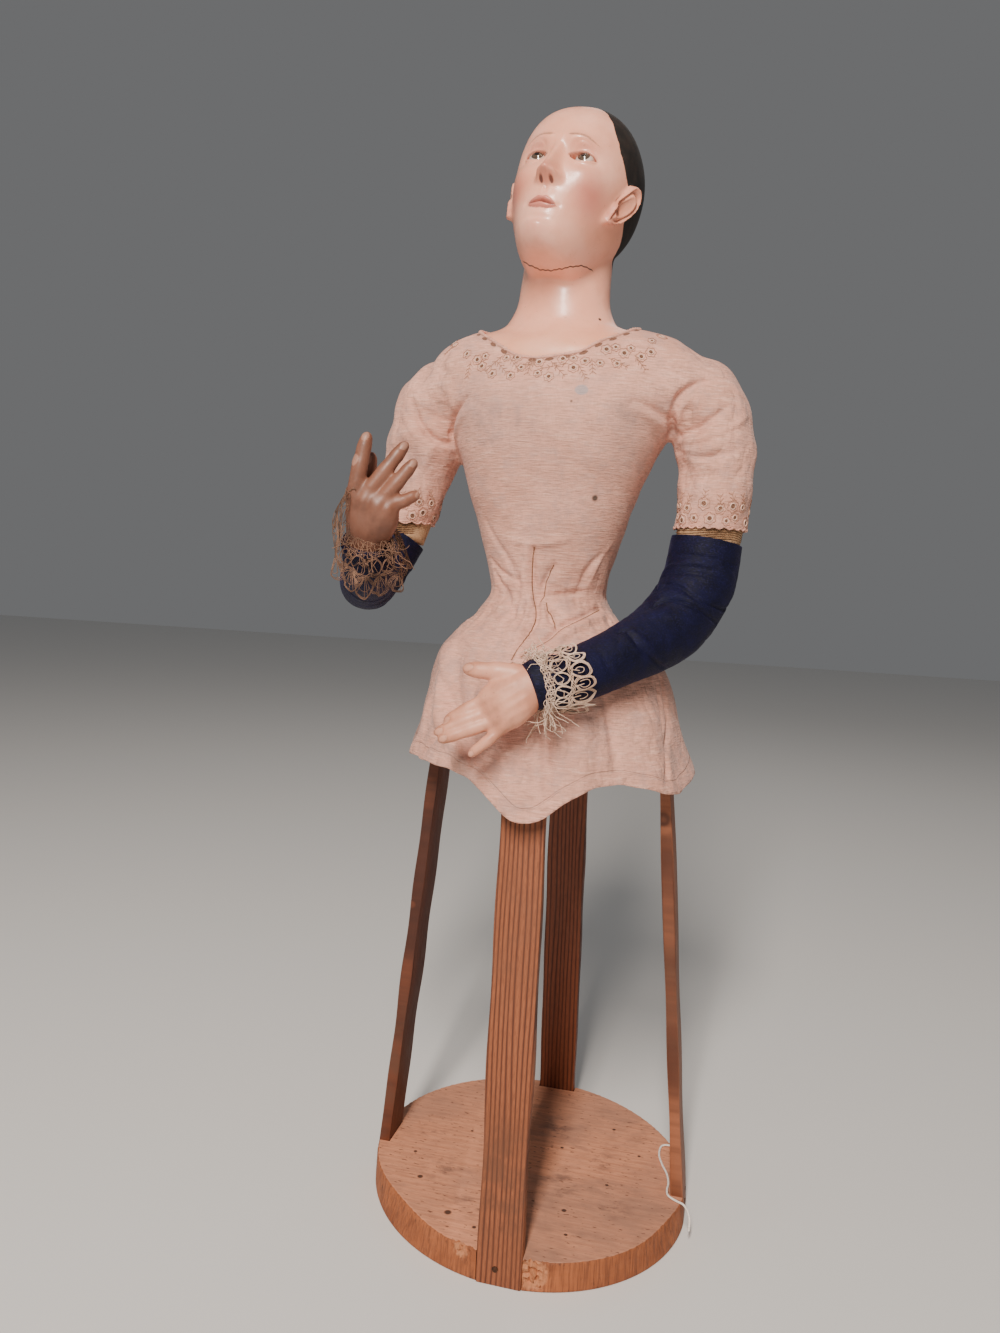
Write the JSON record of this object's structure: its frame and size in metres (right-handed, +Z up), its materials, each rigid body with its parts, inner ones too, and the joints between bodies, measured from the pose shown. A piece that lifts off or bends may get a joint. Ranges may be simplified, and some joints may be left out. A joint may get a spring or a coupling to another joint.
{
  "type": "processional mannequin",
  "caption": "Standing half-figure for dressing: carved, painted head, bust and hands, a stuffed body in a short linen chemise, silk sleeves and lace cuffs, on slats over a round board.",
  "frame": {"origin": "centre of the board's underside, on the surface that the stand rests on", "axes": "+Z up to the head, -Y the way the figure's chest faces, +X towards the figure's own left arm"},
  "size_m": [0.2881, 0.2784, 0.7962],
  "materials": {
    "board_pine": "bare sawn pine, pale orange-brown, stained grey",
    "slat_pine": "bare pine, reddish brown with dark growth lines",
    "flesh_paint": "carved wood, glossy flesh-coloured oil paint with a soft blush",
    "glass_eye": "painted glass, grey-brown iris",
    "linen": "plain-woven slubby linen, worn and greyed, with eyelet embroidery",
    "stuffing": "coarse beige cloth over a stuffing, wound with brown thread",
    "silk": "navy-blue silk with a faint violet sheen",
    "lace": "aged cream thread lace",
    "string": "white cotton string"
  },
  "bodies": {
    "root": {"base_board": "board_pine", "slat_front": "slat_pine", "slat_left": "slat_pine", "slat_back": "slat_pine", "slat_right": "slat_pine", "string": "string", "torso": "stuffing", "head_and_bust": "flesh_paint", "eye_left": "glass_eye", "eye_right": "glass_eye", "chemise_bodice": "linen", "chemise_skirt": "linen", "arm_left": "stuffing", "chemise_sleeve_left": "linen", "silk_sleeve_left": "silk", "lace_cuff_left": "lace", "hand_left": "flesh_paint", "arm_right": "stuffing", "chemise_sleeve_right": "linen", "silk_sleeve_right": "silk", "lace_cuff_right": "lace", "hand_right": "flesh_paint"}
  },
  "joints": []
}
